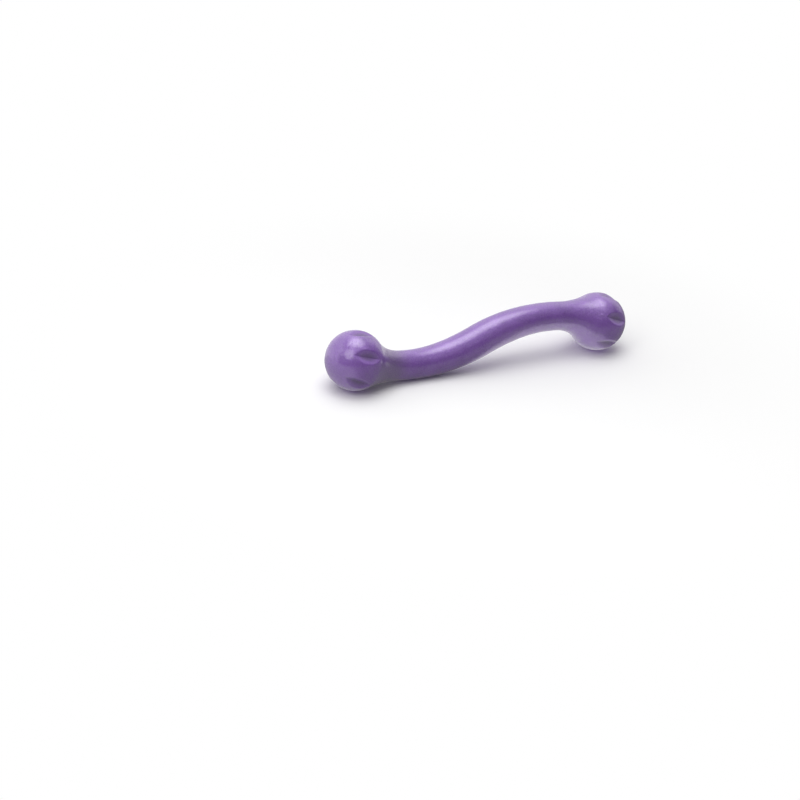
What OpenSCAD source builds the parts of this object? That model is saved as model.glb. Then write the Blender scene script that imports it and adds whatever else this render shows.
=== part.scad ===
// A rubber fetch stick: a round stem in a gentle S, with a grooved round bulb at each end.
// The stick is one moulding. It is divided where it flexes, so each section is a solid of its own.
// The origin is the middle of the stem. The bulbs lie along X, and the S lies in the XZ plane.

/* [Overall] */
// Distance between the centres of the two bulbs
bulb_spacing = 273; // [220:1:340]
// Angle between the stem's ends and the straight line through both bulbs
end_slope = 19; // [8:1:24]

/* [Bulbs] */
// Diameter of the bulb at each end
bulb_d = 57; // [48:1:70]
// Number of grooves round each bulb
groove_count = 6; // [4:1:7]
// Length of a groove along the bulb, from tip to tip
groove_length = 28; // [20:1:34]
// Width of a groove between its lips, at its middle
groove_w = 13.5; // [9:0.5:16]
// How far a groove's middle lies beyond the bulb's widest belt, towards the end of the stick
groove_shift = 4; // [0:0.5:6]

/* [Stem] */
// Diameter of the stem where the flare of a bulb runs into it
neck_d = 28.2; // [22:0.2:34]
// Diameter of the stem at the middle of the stick
grip_d = 32; // [26:0.5:40]
// Radius of the hollow curve that runs from a bulb into the stem
flare_r = 65; // [30:1:80]

/* [Hidden] */

// Where the grip, the bend, the arm and the neck end, as shares of the way from the middle to the bulb
grip_share = 0.18;
bend_share = 0.50;
arm_share = 0.70;
neck_share = 1;
// Where the stem's swelling starts, as a share of the way from a bulb's centre to the middle
swell_share = 0.43;

stem_sides = 36;
rings_per_section = 10;
rubber = "#6B4A9E";

bulb_r = bulb_d / 2;
neck_r = neck_d / 2;
grip_r = grip_d / 2;
overrun = neck_r;

// The flare's hollow curve touches the stem and the bulb at these distances from the bulb's centre
flare_distance = sqrt((bulb_r + flare_r) ^ 2 - (neck_r + flare_r) ^ 2);
cut_distance = flare_distance * bulb_r / (bulb_r + flare_r);

// Each half of the centre line is one arc, then a straight line from the cut face to the bulb's centre
arc_span = bulb_spacing / 2 - cut_distance * cos(end_slope);
middle_slope = end_slope + 2 * atan(cut_distance * sin(end_slope) / arc_span);
arc_r = arc_span / (sin(middle_slope) + sin(end_slope));
arc_length = arc_r * (middle_slope + end_slope) * PI / 180;
half_length = arc_length + cut_distance;

// A groove is cut by a straight bar with a sharp edge, which enters and leaves the bulb at the groove's tips
edge_distance = sqrt(bulb_r ^ 2 - (groove_length / 2) ^ 2);
lip_distance = sqrt(bulb_r ^ 2 - (groove_w / 2) ^ 2);
wall_slant = (lip_distance - edge_distance) / (groove_w / 2);
groove_lean = asin(groove_shift / bulb_r);
echo(total_length = bulb_spacing + bulb_d, groove_depth = bulb_r - edge_distance, middle_slope = middle_slope);

// Places on the centre line are measured along it from the middle, and are negative in the left half

// Angle of the centre line above X
function slope(place) = middle_slope - 180 / PI * abs(place) / arc_r;

// Point of the centre line
function centre(place) = sign(place) * [
    arc_r * (sin(middle_slope) - sin(slope(place))),
    0,
    arc_r * (cos(slope(place)) - cos(middle_slope))
];

// A curve that rises smoothly from 0 to 1 as u does
function smooth_rise(u) = u * u * (3 - 2 * u);

// Radius of the stem without its flares, which swells towards the middle
function plain_radius(place) =
    let (inward = (half_length - abs(place)) / half_length)
    let (swell = max(inward - swell_share, 0) / (1 - swell_share))
    neck_r + (grip_r - neck_r) * smooth_rise(swell);

// What the flare of a bulb adds to the stem's radius
function flare_rise(place) =
    let (reach = max(flare_distance - half_length + abs(place), 0))
    flare_r - sqrt(flare_r ^ 2 - reach ^ 2);

// One ring of points round the centre line
function ring(place) = [
    for (i = [0:stem_sides - 1])
        let (turn = 360 * i / stem_sides)
        let (lean = slope(place))
        let (out = plain_radius(place) + flare_rise(place))
        centre(place) + out * [-sin(lean) * cos(turn), sin(turn), cos(lean) * cos(turn)]
];

// The faces round one section, as four corners each
function side_faces() = [
    for (k = [0:rings_per_section - 1])
        for (i = [0:stem_sides - 1])
            let (here = k * stem_sides + i)
            let (beside = k * stem_sides + (i + 1) % stem_sides)
            [here, beside, beside + stem_sides, here + stem_sides]
];

// The triangles from the middle of an end face to its rim, so that both sides of a seam match
function end_fan(hub, rim) = [
    for (i = [0:stem_sides - 1]) [hub, rim + i, rim + (i + 1) % stem_sides]
];

// The same triangles seen from the other side
function turned_over(faces) = [for (face = faces) [face[0], face[2], face[1]]];

// A length of the stem between two places, with a flat face at each end
module stem_section(start, end) {
    step = (end - start) / rings_per_section;
    last_rim = rings_per_section * stem_sides;
    hub = last_rim + stem_sides;
    rings = [for (k = [0:rings_per_section]) each ring(start + k * step)];
    polyhedron(
        points = concat(rings, [centre(start), centre(end)]),
        faces = concat(turned_over(end_fan(hub, 0)), end_fan(hub + 1, last_rim), side_faces())
    );
}

// A section of the right half between two shares of the arc
module right_section(start_share, end_share) {
    stem_section(start_share * arc_length, end_share * arc_length);
}

// The same section of the left half
module left_section(start_share, end_share) {
    stem_section(-end_share * arc_length, -start_share * arc_length);
}

// The bar that cuts one groove, along X below the bulb, with its sharp edge on top
module groove_bar() {
    wall_foot = -edge_distance - groove_w * wall_slant;
    rotate([90, 0, 90])
        linear_extrude(2 * bulb_d, center = true)
            polygon([
                [0, -edge_distance],
                [groove_w, wall_foot],
                [groove_w, -bulb_d],
                [-groove_w, -bulb_d],
                [-groove_w, wall_foot]
            ]);
}

// A bulb about its own centre, with the stem running off along -X and one groove facing down
module bulb_shape() {
    block = bulb_r + overrun;
    difference() {
        sphere(bulb_r, $fn = 96);
        translate([-cut_distance - block, -block, -block])
            cube([block, 2 * block, 2 * block]);
        for (i = [0:groove_count - 1])
            rotate([360 * i / groove_count, 0, 0])
                rotate([0, -groove_lean, 0])
                    groove_bar();
    }
}

module right_bulb() {
    color(rubber)
        translate([bulb_spacing / 2, 0, 0])
            rotate([0, end_slope, 0])
                bulb_shape();
}

module left_bulb() {
    color(rubber)
        rotate([0, 180, 0])
            translate([bulb_spacing / 2, 0, 0])
                rotate([0, end_slope, 0])
                    bulb_shape();
}

module grip() {
    color(rubber) stem_section(-grip_share * arc_length, grip_share * arc_length);
}

module right_bend() {
    color(rubber) right_section(grip_share, bend_share);
}

module right_arm() {
    color(rubber) right_section(bend_share, arm_share);
}

module right_neck() {
    color(rubber) right_section(arm_share, neck_share);
}

module left_bend() {
    color(rubber) left_section(grip_share, bend_share);
}

module left_arm() {
    color(rubber) left_section(bend_share, arm_share);
}

module left_neck() {
    color(rubber) left_section(arm_share, neck_share);
}

left_bulb();
left_neck();
left_arm();
left_bend();
grip();
right_bend();
right_arm();
right_neck();
right_bulb();
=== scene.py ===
"""A rubber fetch stick: one pearly purple moulding, shown in the sections that it bends between."""
import math

import bpy
import numpy as np
from mathutils import Matrix, Vector


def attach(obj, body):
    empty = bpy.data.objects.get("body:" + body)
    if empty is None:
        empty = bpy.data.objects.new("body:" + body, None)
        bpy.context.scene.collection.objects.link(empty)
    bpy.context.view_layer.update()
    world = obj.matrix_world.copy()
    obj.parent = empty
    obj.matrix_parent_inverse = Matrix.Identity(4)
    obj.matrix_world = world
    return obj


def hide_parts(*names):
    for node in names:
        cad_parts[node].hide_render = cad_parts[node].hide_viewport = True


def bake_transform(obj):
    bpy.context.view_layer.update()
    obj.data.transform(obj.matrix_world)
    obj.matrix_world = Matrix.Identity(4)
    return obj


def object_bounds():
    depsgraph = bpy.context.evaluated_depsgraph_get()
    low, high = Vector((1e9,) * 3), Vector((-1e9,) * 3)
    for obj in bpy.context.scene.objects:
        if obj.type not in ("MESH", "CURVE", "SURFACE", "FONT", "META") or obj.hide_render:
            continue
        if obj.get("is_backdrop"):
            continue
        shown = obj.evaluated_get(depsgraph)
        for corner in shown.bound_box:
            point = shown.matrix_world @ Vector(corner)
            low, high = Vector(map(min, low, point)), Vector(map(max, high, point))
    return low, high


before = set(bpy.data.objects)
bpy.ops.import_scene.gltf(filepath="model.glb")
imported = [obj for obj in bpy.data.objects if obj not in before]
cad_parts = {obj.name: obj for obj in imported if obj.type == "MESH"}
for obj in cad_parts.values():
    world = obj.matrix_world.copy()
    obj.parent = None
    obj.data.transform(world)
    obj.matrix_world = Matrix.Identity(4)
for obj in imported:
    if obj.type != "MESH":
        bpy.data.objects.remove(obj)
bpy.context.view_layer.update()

# Sizes of the moulding, in metres and radians, as the CAD has them
BULB_SPACING = 0.273
END_SLOPE = math.radians(19)
BULB_RADIUS = 0.0285
GROOVE_COUNT = 6
GROOVE_LENGTH = 0.028
GROOVE_WIDTH = 0.0135
GROOVE_SHIFT = 0.004
NECK_RADIUS = 0.0141
GRIP_RADIUS = 0.016
FLARE_RADIUS = 0.065
SWELL_SHARE = 0.43

# Where the grip, the bend, the arm and the neck end, as shares of the arc
GRIP_SHARE = 0.18
BEND_SHARE = 0.50
ARM_SHARE = 0.70
NECK_SHARE = 1.0

# What stays straight between the last of a bend and the end of its section
BEND_MARGIN = 0.002

# Small forms of the mould that only the visual model has
LIP_ROUNDING = 0.0006
VALLEY_ROUNDING = 0.0003
PARTING_HEIGHT = 0.00009
WAVINESS = 0.00003

# Waves of the surface, in pairs that are multiplied: radians per metre along X, Y and Z, then the start
WAVE_PAIRS = (
    ((310, 170, 0, 1.3), (0, 240, -190, 0.4)),
    ((150, 0, 420, 2.1), (210, 360, 0, 0)),
)

# How fine the meshes are
BULB_COLUMNS = 480
STEM_COLUMNS = 240
BULB_RING_STEP = 0.0004
STEM_RING_STEP = 0.0007
SEAM_RING = 0.00005

# Colours, as linear red, green, blue and alpha
DEEP_PURPLE = (0.220, 0.066, 0.470, 1)
PALE_PURPLE = (0.268, 0.090, 0.545, 1)
FLAKE_GLINT = (0.38, 0.24, 0.62, 1)
# The groove colour darkens each groove towards its valley: some dirt, and painted shade
GROOVE_DIRT_AND_SHADE = (0.080, 0.022, 0.165, 1)
GREYISH_PURPLE = (0.19, 0.115, 0.29, 1)
WHITE = (1, 1, 1, 1)
BOUNCED_GREY = (0.5, 0.5, 0.5, 1)
MIRRORED_GREY = (0.25, 0.25, 0.25, 1)

# How much of those colours the purple takes on, and the flake tone and groove depth from which it does
GLINT_SHARE = 0.35
GLINT_TONE = 0.35
DIRT_AND_SHADE_SHARE = 0.7
DIRT_AND_SHADE_DEPTH = 0.2
HAZE_SHARE = 0.35

# Grain of the rubber, and the two layers of flakes in it
CLOUDS_PER_METRE = 60.0
GRAIN_HEIGHT = 0.00006
SCRATCH_TO_GRAIN = 0.6
FINE_FLAKES_PER_METRE = 2600.0
COARSE_FLAKES_PER_METRE = 1700.0
FLAKE_LEAN = 0.3

# How rough the rubber is at its glossiest, and what its grain and its haze add
GLOSSIEST = 0.24
GRAIN_ROUGHNESS = 0.16
HAZE_ROUGHNESS = 0.15

# The clear coat's weight over the dullest flakes
LEAST_SPARKLE = 0.5

# The greyish patch on the left neck: its middle as a share of the arc, its whole and its densest reach, and
# the grey that it has where the grain has none
PATCH_SHARE = 0.9
PATCH_REACH = 0.034
PATCH_CORE = 0.014
PATCH_LEAST = 0.25

# The photograph's view, in metres and degrees. At azimuth 0 the camera looks along +Y
CAMERA_AZIMUTH = -32.35
CAMERA_ELEVATION = 26.54
CAMERA_ROLL = math.radians(5.99)
CAMERA_DISTANCE = 2.404
STICK_RIGHT_OF_AXIS = 0.0759
STICK_ABOVE_AXIS = 0.0575
LENS = 112.5

# How wide the floor is to each side, and where its shadows start to fade and are gone
FLOOR_REACH = 15.0
SHADOW_FADES = 0.15
SHADOW_GONE = 0.42

# The floor in the rubber's gloss is mostly a plain glow. It turns dim before the stick and to its right, and
# is half as dim to its left, each between two distances from the stick's middle
MIRRORED_GLOW = 0.8
DIM_BEFORE = (0.0, 0.02)
DIM_RIGHT = (0.125, 0.155)
LESS_DIM_LEFT = (0.09, 0.12)
LESS_DIM_SHARE = 0.5

# The wide lamp overhead, and the round key lamp with its bright centre
FILL_AZIMUTH = CAMERA_AZIMUTH - 30
FILL_ELEVATION = 70
FILL_DISTANCE = 1.6
FILL_WIDTH = 1.2
FILL_STRENGTH = 1.55
KEY_AZIMUTH = CAMERA_AZIMUTH - 33
KEY_ELEVATION = 39
KEY_DISTANCE = 1.3
KEY_WIDTH = 0.8
KEY_STRENGTH = 1.0
KEY_CENTRE_WIDTH = 0.4
KEY_CENTRE_STRENGTH = 1.5

# The studio round the stick: how bright it is, and what its back wall, ceiling and glow overhead add
STUDIO_LEVEL = 0.12
WALL_LEVEL = 0.65
CEILING_LEVEL = 0.2
GLOW_LEVEL = 2.0
WALL_AZIMUTH = CAMERA_AZIMUTH + 212
GLOW_AZIMUTH = CAMERA_AZIMUTH + 190
GLOW_ELEVATION = 80
GLOW_EDGE = math.radians(32)
GLOW_CORE = math.radians(6)

# The flare's hollow curve touches the stem and the bulb at these distances from the bulb's centre
FLARE_DISTANCE = math.sqrt((BULB_RADIUS + FLARE_RADIUS) ** 2 - (NECK_RADIUS + FLARE_RADIUS) ** 2)
CUT_DISTANCE = FLARE_DISTANCE * BULB_RADIUS / (BULB_RADIUS + FLARE_RADIUS)

# Each half of the centre line is one arc, then a straight line from the cut face to the bulb's centre
ARC_SPAN = BULB_SPACING / 2 - CUT_DISTANCE * math.cos(END_SLOPE)
MIDDLE_SLOPE = END_SLOPE + 2 * math.atan(CUT_DISTANCE * math.sin(END_SLOPE) / ARC_SPAN)
ARC_RADIUS = ARC_SPAN / (math.sin(MIDDLE_SLOPE) + math.sin(END_SLOPE))
ARC_LENGTH = ARC_RADIUS * (MIDDLE_SLOPE + END_SLOPE)
HALF_LENGTH = ARC_LENGTH + CUT_DISTANCE

# A groove is what a straight bar with a sharp edge leaves, whose edge meets the bulb at the groove's tips
EDGE_DISTANCE = math.sqrt(BULB_RADIUS ** 2 - (GROOVE_LENGTH / 2) ** 2)
LIP_DISTANCE = math.sqrt(BULB_RADIUS ** 2 - (GROOVE_WIDTH / 2) ** 2)
GROOVE_DEPTH = BULB_RADIUS - EDGE_DISTANCE
WALL_SLANT = (LIP_DISTANCE - EDGE_DISTANCE) / (GROOVE_WIDTH / 2)
GROOVE_LEAN = math.asin(GROOVE_SHIFT / BULB_RADIUS)

# A direction that faces a groove less squarely than this misses it
LEAST_FACING = 0.5


# Shape of the centre line and of the stem

def stacked(x, y, z):
    """Points from their coordinates, spread to one common shape."""
    return np.stack(np.broadcast_arrays(x, y, z), axis=-1)


def slope(place):
    """Angle of the centre line above X, at places measured along it from the middle."""
    return MIDDLE_SLOPE - np.abs(place) / ARC_RADIUS


def centre(place):
    """Points of the centre line."""
    side = np.sign(place)
    x = side * ARC_RADIUS * (math.sin(MIDDLE_SLOPE) - np.sin(slope(place)))
    z = side * ARC_RADIUS * (np.cos(slope(place)) - math.cos(MIDDLE_SLOPE))
    return stacked(x, 0, z)


def smooth_rise(share):
    """A curve that rises smoothly from 0 to 1 as the share does."""
    return share * share * (3 - 2 * share)


def stem_radius(place):
    """Radius of the stem, with its swelling at the middle and the flare at each bulb."""
    to_bulb = HALF_LENGTH - np.abs(place)
    swell = np.clip((to_bulb / HALF_LENGTH - SWELL_SHARE) / (1 - SWELL_SHARE), 0, 1)
    reach = np.clip(FLARE_DISTANCE - to_bulb, 0, None)
    flare = FLARE_RADIUS - np.sqrt(FLARE_RADIUS ** 2 - reach ** 2)
    return NECK_RADIUS + (GRIP_RADIUS - NECK_RADIUS) * smooth_rise(swell) + flare


def wave(points, along_x, along_y, along_z, start):
    """One wave through space."""
    return np.sin(points @ np.array([along_x, along_y, along_z]) + start)


def waviness(points):
    """The slight unevenness of a moulded rubber surface, in metres, the same on both sides of a seam."""
    return WAVINESS * sum(wave(points, *first) * wave(points, *second) for first, second in WAVE_PAIRS)


def parting_rise(turn, step):
    """Height of the line where the halves of the mould meet, which runs along the top and the bottom."""
    off_line = np.abs(np.sin(turn)) / math.sin(step)
    return PARTING_HEIGHT * np.clip(1 - off_line, 0, 1)


def ring_turns(columns):
    """Angles of a ring's points, from the top."""
    return np.arange(columns) * 2 * math.pi / columns


def ring_places(start, end, step):
    """Places of a section's rings, with one close to each end so that neighbours shade alike at a seam."""
    inner = np.linspace(start + SEAM_RING, end - SEAM_RING, max(2, round((end - start) / step)))
    return np.concatenate([[start], inner, [end]])


def stem_rings(start, end):
    """Points of a stem section, ring by ring."""
    place = ring_places(start, end, STEM_RING_STEP)[:, None]
    turn = ring_turns(STEM_COLUMNS)[None, :]
    lean = slope(place)
    out = stacked(-np.sin(lean) * np.cos(turn), np.sin(turn), np.cos(lean) * np.cos(turn))
    base = centre(place) + stem_radius(place)[..., None] * out
    rise = parting_rise(turn, 2 * math.pi / STEM_COLUMNS) + waviness(base)
    return base + rise[..., None] * out


# Shape of a bulb

def groove_reach(directions, number):
    """How far from the bulb's centre the walls of one groove lie, along each direction."""
    turn = 2 * math.pi * number / GROOVE_COUNT
    x, y, z = np.moveaxis(directions, -1, 0)
    side = y * math.cos(turn) + z * math.sin(turn)
    down = y * math.sin(turn) - z * math.cos(turn)
    deep = down * math.cos(GROOVE_LEAN) + x * math.sin(GROOVE_LEAN)
    off_edge = WALL_SLANT * np.sqrt(side ** 2 + (VALLEY_ROUNDING / BULB_RADIUS) ** 2)
    return EDGE_DISTANCE / np.clip(deep - off_edge, LEAST_FACING, None)


def softened_least(first, second, rounding):
    """The smaller of two reaches, rounded where they cross."""
    near = np.clip(rounding - np.abs(first - second), 0, None) / rounding
    return np.minimum(first, second) - near * near * rounding / 4


def bulb_rings():
    """Points of a bulb about its own centre, ring by ring, with their directions and depths."""
    last = math.acos(-CUT_DISTANCE / BULB_RADIUS)
    seam = SEAM_RING / BULB_RADIUS
    count = round(last * BULB_RADIUS / BULB_RING_STEP)
    polar = np.concatenate([[last], np.linspace(last - seam, last / count, count)])[:, None]
    turn = ring_turns(BULB_COLUMNS)[None, :]
    across = np.sin(polar)
    out = stacked(np.cos(polar), across * np.sin(turn), across * np.cos(turn))
    reach = np.full(out.shape[:2], BULB_RADIUS)
    for number in range(GROOVE_COUNT):
        reach = softened_least(reach, groove_reach(out, number), LIP_ROUNDING)
    depth = BULB_RADIUS - reach
    step = 2 * math.pi / BULB_COLUMNS
    reach = reach + parting_rise(turn, step) * smooth_rise(across)
    return reach[..., None] * out, out, depth


# Meshes

def ring_faces(rings, columns):
    """Four-cornered faces between neighbouring rings."""
    first = np.arange(rings - 1)[:, None] * columns
    column = np.arange(columns)[None, :]
    here = (first + column).ravel()
    beside = (first + (column + 1) % columns).ravel()
    return np.stack([here, beside, beside + columns, here + columns], axis=-1)


def fan_faces(first, columns, hub, outward):
    """Triangles from a hub to a rim, facing back along the rings or, outward, on along them."""
    here = first + np.arange(columns)
    beside = first + (np.arange(columns) + 1) % columns
    pair = (here, beside) if outward else (beside, here)
    return np.stack([np.full(columns, hub), *pair], axis=-1)


def rubber_object(name, points, faces, flat_faces, depth):
    """A closed mesh with its rest points and groove depth kept for the material."""
    mesh = bpy.data.meshes.new(name)
    mesh.from_pydata(points.tolist(), [], faces)
    flat = np.zeros(len(faces), bool)
    flat[flat_faces] = True
    mesh.polygons.foreach_set("use_smooth", ~flat)
    rest = mesh.attributes.new("rest_point", "FLOAT_VECTOR", "POINT")
    rest.data.foreach_set("vector", points.astype(np.float32).ravel())
    deep = mesh.attributes.new("groove_depth", "FLOAT", "POINT")
    deep.data.foreach_set("value", (depth / GROOVE_DEPTH).astype(np.float32))
    mesh.validate()
    mesh.update()
    piece = bpy.data.objects.new(name, mesh)
    bpy.context.scene.collection.objects.link(piece)
    return piece


def stem_piece(name, start, end):
    """A length of the stem between two places, closed by a flat face at each end."""
    rings = stem_rings(start, end)
    count, columns = rings.shape[:2]
    hubs = centre(np.array([start, end]))
    points = np.concatenate([rings.reshape(-1, 3), hubs])
    hub = count * columns
    sides = ring_faces(count, columns).tolist()
    near = fan_faces(0, columns, hub, outward=False).tolist()
    far = fan_faces(hub - columns, columns, hub + 1, outward=True).tolist()
    ends = np.arange(len(sides), len(sides) + 2 * columns)
    return rubber_object(name, points, sides + near + far, ends, np.zeros(len(points)))


def bulb_piece(name, place_in_row):
    """A bulb with its grooves, closed by a flat face where the stem runs on. Its origin is its centre."""
    rings, out, depth = bulb_rings()
    count, columns = rings.shape[:2]
    spin = np.array(place_in_row.to_3x3())
    shift = np.array(place_in_row.translation)
    rings = rings @ spin.T + shift
    rings = rings + waviness(rings)[..., None] * (out @ spin.T)
    cut_hub = spin @ np.array([-CUT_DISTANCE, 0, 0]) + shift
    tip = spin @ np.array([BULB_RADIUS, 0, 0]) + shift
    points = np.concatenate([rings.reshape(-1, 3), [cut_hub, tip]])
    hub = count * columns
    sides = ring_faces(count, columns).tolist()
    cap = fan_faces(0, columns, hub, outward=False).tolist()
    tip_fan = fan_faces(hub - columns, columns, hub + 1, outward=True).tolist()
    flat = np.arange(len(sides), len(sides) + columns)
    depths = np.concatenate([depth.ravel(), [0, 0]])
    bulb = rubber_object(name, points, sides + cap + tip_fan, flat, depths)
    bulb.data.transform(Matrix.Translation(-place_in_row.translation))
    bulb.location = place_in_row.translation
    return bulb


# Shader nodes

def group_of(name, inputs, outputs):
    """An empty node group with named sockets, and its input and output nodes."""
    group = bpy.data.node_groups.new(name, "ShaderNodeTree")
    for label, kind in inputs.items():
        group.interface.new_socket(label, in_out="INPUT", socket_type="NodeSocket" + kind)
    for label, kind in outputs.items():
        group.interface.new_socket(label, in_out="OUTPUT", socket_type="NodeSocket" + kind)
    return group, group.nodes.new("NodeGroupInput"), group.nodes.new("NodeGroupOutput")


def node(tree, kind, inputs=None, **settings):
    """Adds a node, sets its options, and links or sets its inputs."""
    new = tree.nodes.new("ShaderNode" + kind)
    for key, value in settings.items():
        setattr(new, key, value)
    for key, value in (inputs or {}).items():
        if isinstance(value, bpy.types.NodeSocket):
            tree.links.new(value, new.inputs[key])
        else:
            new.inputs[key].default_value = value
    return new


def maths(tree, operation, first, second=0.0, third=0.0):
    """The result of a sum on numbers."""
    return node(tree, "Math", {0: first, 1: second, 2: third}, operation=operation).outputs[0]


def vector_maths(tree, operation, first, second):
    """The result of a sum on vectors."""
    return node(tree, "VectorMath", {0: first, 1: second}, operation=operation).outputs[0]


def along(tree, point, direction):
    """How far a point lies along a direction."""
    return node(tree, "VectorMath", {0: point, 1: direction}, operation="DOT_PRODUCT").outputs["Value"]


def apart(tree, point, other):
    """The distance between two points."""
    return node(tree, "VectorMath", {0: point, 1: other}, operation="DISTANCE").outputs["Value"]


def ramp(tree, value, start, end):
    """Rises smoothly from 0 where the value is start, or short of it, to 1 where it is end, or past it."""
    return node(tree, "MapRange", {"Value": value, "From Min": start, "From Max": end},
                interpolation_type="SMOOTHSTEP", clamp=True).outputs[0]


def noise(tree, point, scale, detail=2.0, roughness=0.5):
    """Soft noise round 0.5."""
    return node(tree, "TexNoise", {"Vector": point, "Scale": scale, "Detail": detail,
                                   "Roughness": roughness}).outputs[0]


def colour_mix(tree, share, first, second):
    """The first colour at share 0 and the second at 1. A Mix node has them in its sockets 6 and 7."""
    mixed = node(tree, "Mix", {"Factor": share, 6: first, 7: second}, data_type="RGBA")
    return mixed.outputs[2]


def flake_group():
    """Pearl flakes: small cells that each lean their own way and are a little lighter or darker."""
    group, given, result = group_of(
        "Pearl flakes",
        {"Point": "Vector", "Normal": "Vector", "Flakes per metre": "Float", "Lean": "Float"},
        {"Normal": "Vector", "Tone": "Float"})
    cells = node(group, "TexVoronoi", {"Vector": given.outputs["Point"],
                                       "Scale": given.outputs["Flakes per metre"]})
    cell_colour = cells.outputs["Color"]
    centred = vector_maths(group, "SUBTRACT", cell_colour, (0.5, 0.5, 0.5))
    leaning = node(group, "VectorMath", {0: centred, "Scale": given.outputs["Lean"]}, operation="SCALE")
    turned = vector_maths(group, "ADD", given.outputs["Normal"], leaning.outputs[0])
    turned = node(group, "VectorMath", {0: turned}, operation="NORMALIZE").outputs[0]
    tone = node(group, "SeparateColor", {0: cell_colour}).outputs[0]
    group.links.new(turned, result.inputs["Normal"])
    group.links.new(tone, result.inputs["Tone"])
    return group


def cloud_group():
    """Uneven mixing of the pigment: broad soft clouds, and a grain twelve times as fine."""
    group, given, result = group_of(
        "Pigment clouds",
        {"Point": "Vector", "Clouds per metre": "Float"},
        {"Cloud": "Float", "Grain": "Float"})
    point = given.outputs["Point"]
    broad = noise(group, point, given.outputs["Clouds per metre"], detail=3.0)
    finer = maths(group, "MULTIPLY", given.outputs["Clouds per metre"], 12.0)
    grain = noise(group, point, finer, detail=4.0, roughness=0.65)
    group.links.new(ramp(group, broad, start=0.3, end=0.7), result.inputs["Cloud"])
    group.links.new(grain, result.inputs["Grain"])
    return group


def scuff_group():
    """Haze in patches, and short fine scratches along X here and there, as masks."""
    group, given, result = group_of(
        "Scuffs",
        {"Point": "Vector", "Amount": "Float"},
        {"Haze": "Float", "Scratches": "Float"})
    point = given.outputs["Point"]
    patches = ramp(group, noise(group, point, scale=45.0, detail=5.0, roughness=0.6), start=0.52, end=0.72)
    haze = maths(group, "MULTIPLY", patches, given.outputs["Amount"])
    stretched = vector_maths(group, "MULTIPLY", point, (120.0, 900.0, 900.0))
    lines = ramp(group, noise(group, stretched, scale=1.0, detail=1.0), start=0.66, end=0.72)
    where = ramp(group, noise(group, point, scale=90.0, detail=1.0), start=0.5, end=0.62)
    group.links.new(haze, result.inputs["Haze"])
    group.links.new(maths(group, "MULTIPLY", lines, where), result.inputs["Scratches"])
    return group


def grey_neck_patch(tree, point, grain):
    """How grey a point is from the patch on the left neck."""
    middle = centre(np.array([-PATCH_SHARE * ARC_LENGTH]))[0].tolist()
    near = ramp(tree, apart(tree, point, middle), start=PATCH_REACH, end=PATCH_CORE)
    return maths(tree, "MULTIPLY", near, maths(tree, "ADD", grain, PATCH_LEAST))


def pearl_rubber():
    """Pearly purple rubber: flakes under a smooth skin, pigment clouds, grooves darkened by some dirt and by
    painted shade, a greyish neck patch and scuffs.
    """
    material = bpy.data.materials.new("pearl_rubber")
    material.use_nodes = True
    tree = material.node_tree
    tree.nodes.clear()
    point = node(tree, "Attribute", attribute_name="rest_point").outputs["Vector"]
    depth = node(tree, "Attribute", attribute_name="groove_depth").outputs["Fac"]

    clouds = node(tree, "Group", {"Point": point, "Clouds per metre": CLOUDS_PER_METRE},
                  node_tree=cloud_group())
    grain = clouds.outputs["Grain"]
    scuffs = node(tree, "Group", {"Point": point, "Amount": 0.5}, node_tree=scuff_group())
    haze = scuffs.outputs["Haze"]

    height = maths(tree, "MULTIPLY_ADD", scuffs.outputs["Scratches"], -SCRATCH_TO_GRAIN, grain)
    bump = node(tree, "Bump", {"Height": height, "Strength": 0.5, "Distance": GRAIN_HEIGHT})
    flakes = flake_group()
    fine = node(tree, "Group", {"Point": point, "Normal": bump.outputs[0], "Lean": FLAKE_LEAN,
                                "Flakes per metre": FINE_FLAKES_PER_METRE}, node_tree=flakes)
    coarse = node(tree, "Group", {"Point": point, "Normal": fine.outputs["Normal"], "Lean": FLAKE_LEAN,
                                  "Flakes per metre": COARSE_FLAKES_PER_METRE}, node_tree=flakes)

    purple = colour_mix(tree, clouds.outputs["Cloud"], DEEP_PURPLE, PALE_PURPLE)
    glint = maths(tree, "MULTIPLY", ramp(tree, fine.outputs["Tone"], start=GLINT_TONE, end=1.0), GLINT_SHARE)
    purple = colour_mix(tree, glint, purple, FLAKE_GLINT)
    # Painted shade with some dirt: the purple darkens towards each groove's valley
    dirt_and_shade = maths(tree, "MULTIPLY", ramp(tree, depth, start=DIRT_AND_SHADE_DEPTH, end=1.0), DIRT_AND_SHADE_SHARE)
    purple = colour_mix(tree, dirt_and_shade, purple, GROOVE_DIRT_AND_SHADE)
    hazy = maths(tree, "MULTIPLY", haze, HAZE_SHARE)
    greyed = maths(tree, "MAXIMUM", hazy, grey_neck_patch(tree, point, grain))
    purple = colour_mix(tree, greyed, purple, GREYISH_PURPLE)

    rough = maths(tree, "MULTIPLY_ADD", grain, GRAIN_ROUGHNESS, GLOSSIEST)
    rough = maths(tree, "ADD", rough, maths(tree, "MULTIPLY", haze, HAZE_ROUGHNESS))
    bright = ramp(tree, coarse.outputs["Tone"], start=0.2, end=0.9)
    sparkle = maths(tree, "MULTIPLY_ADD", bright, 1 - LEAST_SPARKLE, LEAST_SPARKLE)

    skin = node(tree, "BsdfPrincipled", {
        "Base Color": purple,
        "Metallic": 0.22,
        "Roughness": rough,
        "IOR": 2.0,
        "Normal": coarse.outputs["Normal"],
        "Coat Weight": sparkle,
        "Coat Roughness": 0.2,
        "Coat IOR": 2.2,
    })
    output = node(tree, "OutputMaterial")
    tree.links.new(skin.outputs[0], output.inputs["Surface"])
    return material


# The sections, with each bulb on the CAD body that carries it

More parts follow.
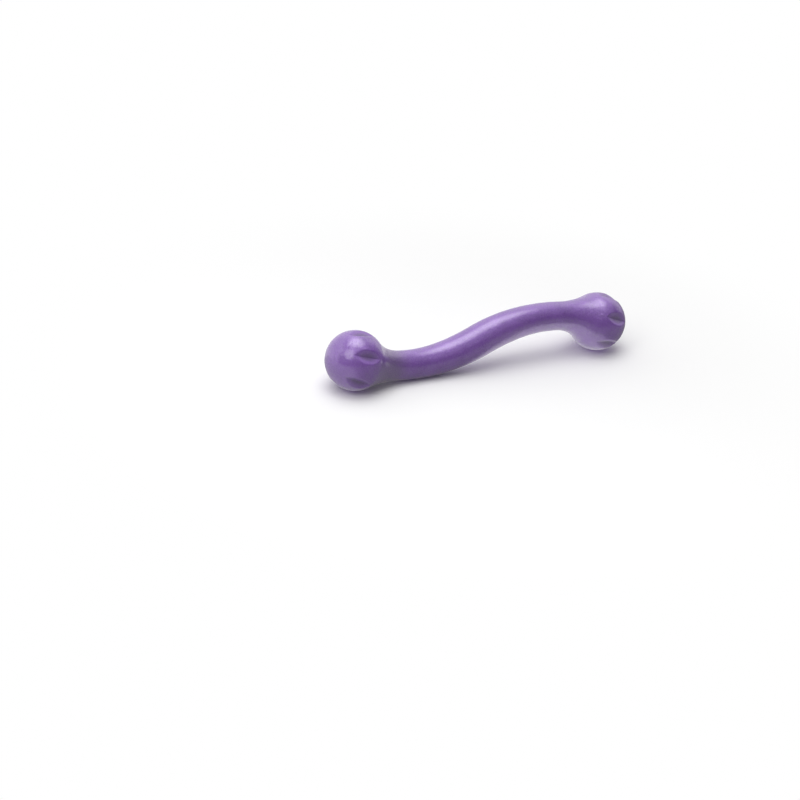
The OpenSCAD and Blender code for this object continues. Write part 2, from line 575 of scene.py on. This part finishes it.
def bend_zone(joint_place, reach, side):
    """Where the rubber starts and ends to bend, as far before the joint as beyond it, towards that side."""
    near = centre(np.array([side * (joint_place - reach)]))[0]
    far = centre(np.array([side * (joint_place + reach)]))[0]
    return near.tolist(), far.tolist()


def finish_piece(piece, material, replaced):
    """Gives a piece its material, and hides the CAD piece that it stands for."""
    piece.data.materials.append(material)
    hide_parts(replaced)


def make_stick():
    """Makes every section of the stick, and gives back its two bulbs."""
    rubber = pearl_rubber()
    bulbs = []
    shares = [GRIP_SHARE, BEND_SHARE, ARM_SHARE, NECK_SHARE]
    grip_end, bend_end, arm_end, neck_end = [share * ARC_LENGTH for share in shares]
    arm_joint = (grip_end + bend_end) / 2
    bulb_joint = (arm_end + neck_end) / 2
    arm_reach = min(arm_joint, arm_end - arm_joint) - BEND_MARGIN
    bulb_reach = neck_end - bulb_joint - BEND_MARGIN
    right_place = Matrix.Translation((BULB_SPACING / 2, 0, 0)) @ Matrix.Rotation(END_SLOPE, 4, "Y")
    places = {"right": right_place, "left": Matrix.Rotation(math.pi, 4, "Y") @ right_place}
    for name, side in (("left", -1), ("right", 1)):
        grip = stem_piece(f"grip_{name}_rubber", *sorted([0.0, side * grip_end]))
        bend = stem_piece(f"{name}_bend_rubber", *sorted([side * grip_end, side * bend_end]))
        arm = stem_piece(f"{name}_arm_rubber", *sorted([side * bend_end, side * arm_end]))
        neck = stem_piece(f"{name}_neck_rubber", *sorted([side * arm_end, side * neck_end]))
        bulb = bulb_piece(f"{name}_bulb_rubber", places[name])
        start, end = bend_zone(arm_joint, arm_reach, side)
        for piece in (grip, bend, arm):
            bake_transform(piece)
        start, end = bend_zone(bulb_joint, bulb_reach, side)
        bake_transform(neck)
        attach(bulb, f"{name}_bulb")
        finish_piece(grip, rubber, "grip")
        finish_piece(bend, rubber, f"{name}_bend")
        finish_piece(arm, rubber, f"{name}_arm")
        finish_piece(neck, rubber, f"{name}_neck")
        finish_piece(bulb, rubber, f"{name}_bulb")
        bulbs.append(bulb)
    return bulbs


# Floor, light and camera

def around(azimuth, elevation, distance):
    """A point at that azimuth and elevation, in degrees, from the stick's middle."""
    turn = math.radians(azimuth)
    rise = math.radians(elevation)
    level = math.cos(rise)
    return Vector((math.sin(turn) * level, -math.cos(turn) * level, math.sin(rise))) * distance


def past(tree, point, azimuth, start, end):
    """0 for a point that lies less far than start towards an azimuth, and 1 for one past end."""
    return ramp(tree, along(tree, point, around(azimuth, 0, 1)), start, end)


def mirrored_floor(tree, place):
    """The floor's colour as the rubber mirrors it: white behind the stick and darker before and beside it."""
    before = past(tree, place, CAMERA_AZIMUTH, *DIM_BEFORE)
    right = past(tree, place, CAMERA_AZIMUTH + 90, *DIM_RIGHT)
    left = past(tree, place, CAMERA_AZIMUTH - 90, *LESS_DIM_LEFT)
    kept = maths(tree, "MULTIPLY_ADD", left, -LESS_DIM_SHARE, 1.0)
    dim = maths(tree, "MULTIPLY", maths(tree, "MAXIMUM", before, right), kept)
    return colour_mix(tree, dim, WHITE, MIRRORED_GREY)


def pale_floor():
    """White with soft shadows to the camera, grey to bounced light, and glowing to the rubber's gloss."""
    material = bpy.data.materials.new("pale_floor")
    material.use_nodes = True
    tree = material.node_tree
    place = node(tree, "NewGeometry").outputs["Position"]
    seen = node(tree, "LightPath").outputs["Is Camera Ray"]
    glossy = node(tree, "LightPath").outputs["Is Glossy Ray"]
    skin = tree.nodes["Principled BSDF"]
    skin.inputs["Roughness"].default_value = 0.8
    skin.inputs["Specular IOR Level"].default_value = 0.2
    tree.links.new(colour_mix(tree, seen, BOUNCED_GREY, WHITE), skin.inputs["Base Color"])
    glow_colour = colour_mix(tree, seen, mirrored_floor(tree, place), WHITE)
    glow = node(tree, "Emission", {"Color": glow_colour, "Strength": 1.0})
    unshaded = ramp(tree, apart(tree, place, (0, 0, 0)), start=SHADOW_FADES, end=SHADOW_GONE)
    seen_far = maths(tree, "MULTIPLY", seen, unshaded)
    plain = maths(tree, "MAXIMUM", maths(tree, "MULTIPLY", glossy, MIRRORED_GLOW), seen_far)
    mixed = node(tree, "MixShader", {0: plain, 1: skin.outputs[0], 2: glow.outputs[0]})
    tree.links.new(mixed.outputs[0], tree.nodes["Material Output"].inputs["Surface"])
    return material


def make_floor(bulbs):
    """A wide floor that the stick lies on, and that stays below both bulbs when the stick bends."""
    reach = FLOOR_REACH
    corners = [(-reach, -reach, 0), (reach, -reach, 0), (reach, reach, 0), (-reach, reach, 0)]
    mesh = bpy.data.meshes.new("floor")
    mesh.from_pydata(corners, [], [(0, 1, 2, 3)])
    floor = bpy.data.objects.new("floor", mesh)
    floor.location.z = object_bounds()[0][2]
    bpy.context.scene.collection.objects.link(floor)
    for bulb in bulbs:
        below = floor.constraints.new("FLOOR")
        below.target = bulb
        below.floor_location = "FLOOR_NEGATIVE_Z"
        below.offset = -BULB_RADIUS
    floor.data.materials.append(pale_floor())
    floor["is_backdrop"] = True


def make_world():
    """The studio round the stick: dim with a pale back wall, ceiling and glow, and white where it is seen."""
    world = bpy.data.worlds.new("studio")
    bpy.context.scene.world = world
    world.use_nodes = True
    tree = world.node_tree
    tree.nodes.clear()
    direction = node(tree, "TexCoord").outputs["Generated"]
    height = node(tree, "SeparateXYZ", {0: direction}).outputs["Z"]
    below_ceiling = ramp(tree, height, start=0.85, end=0.6)
    backwards = past(tree, direction, WALL_AZIMUTH, start=-0.1, end=0.3)
    wall = maths(tree, "MULTIPLY", backwards, below_ceiling)
    ceiling = ramp(tree, height, start=0.35, end=0.75)
    towards_glow = along(tree, direction, around(GLOW_AZIMUTH, GLOW_ELEVATION, 1))
    glow = ramp(tree, towards_glow, start=math.cos(GLOW_EDGE), end=math.cos(GLOW_CORE))
    level = maths(tree, "MULTIPLY_ADD", wall, WALL_LEVEL, STUDIO_LEVEL)
    level = maths(tree, "MULTIPLY_ADD", ceiling, CEILING_LEVEL, level)
    level = maths(tree, "MULTIPLY_ADD", glow, GLOW_LEVEL, level)
    seen = node(tree, "LightPath").outputs["Is Camera Ray"]
    level = maths(tree, "MAXIMUM", level, seen)
    background = node(tree, "Background", {"Color": WHITE, "Strength": level})
    output = node(tree, "OutputWorld")
    tree.links.new(background.outputs[0], output.inputs["Surface"])


def make_lamp(name, shape, azimuth, elevation, distance, width, strength):
    """A lamp that faces the stick. At strength 1 a square one looks white, and a round one brighter."""
    lamp = bpy.data.lights.new(name, "AREA")
    lamp.shape = shape
    lamp.size = width
    lamp.size_y = width
    lamp.energy = strength * math.pi * width * width
    holder = bpy.data.objects.new(name, lamp)
    holder.location = around(azimuth, elevation, distance)
    holder.rotation_euler = holder.location.to_track_quat("Z", "Y").to_euler()
    holder.visible_camera = False
    bpy.context.scene.collection.objects.link(holder)
    return holder


def make_lamps():
    """The fill lamp, which the gloss doesn't show, and the key lamp with its centre, which it does."""
    fill = make_lamp("fill_lamp", "RECTANGLE", FILL_AZIMUTH, FILL_ELEVATION, FILL_DISTANCE,
                     FILL_WIDTH, FILL_STRENGTH)
    fill.visible_glossy = False
    make_lamp("key_lamp", "ELLIPSE", KEY_AZIMUTH, KEY_ELEVATION, KEY_DISTANCE,
              KEY_WIDTH, KEY_STRENGTH)
    make_lamp("key_centre", "ELLIPSE", KEY_AZIMUTH, KEY_ELEVATION, KEY_DISTANCE,
              KEY_CENTRE_WIDTH, KEY_CENTRE_STRENGTH)


def make_camera():
    """The photograph's view: the stick's middle lies right of and above the middle of the picture."""
    data = bpy.data.cameras.new("camera")
    data.lens = LENS
    data.clip_start = 0.05
    data.clip_end = 60
    camera = bpy.data.objects.new("camera", data)
    bpy.context.scene.collection.objects.link(camera)
    back = around(CAMERA_AZIMUTH, CAMERA_ELEVATION, 1)
    level_right = Vector((0, 0, 1)).cross(back).normalized()
    level_up = back.cross(level_right)
    right = level_right * math.cos(CAMERA_ROLL) + level_up * math.sin(CAMERA_ROLL)
    up = back.cross(right)
    turned = Matrix((right, up, back)).transposed().to_4x4()
    place = back * CAMERA_DISTANCE - right * STICK_RIGHT_OF_AXIS - up * STICK_ABOVE_AXIS
    camera.matrix_world = Matrix.Translation(place) @ turned
    bpy.context.scene.camera = camera


make_floor(make_stick())
make_world()
make_lamps()
make_camera()
bpy.context.scene.view_settings.view_transform = "Standard"
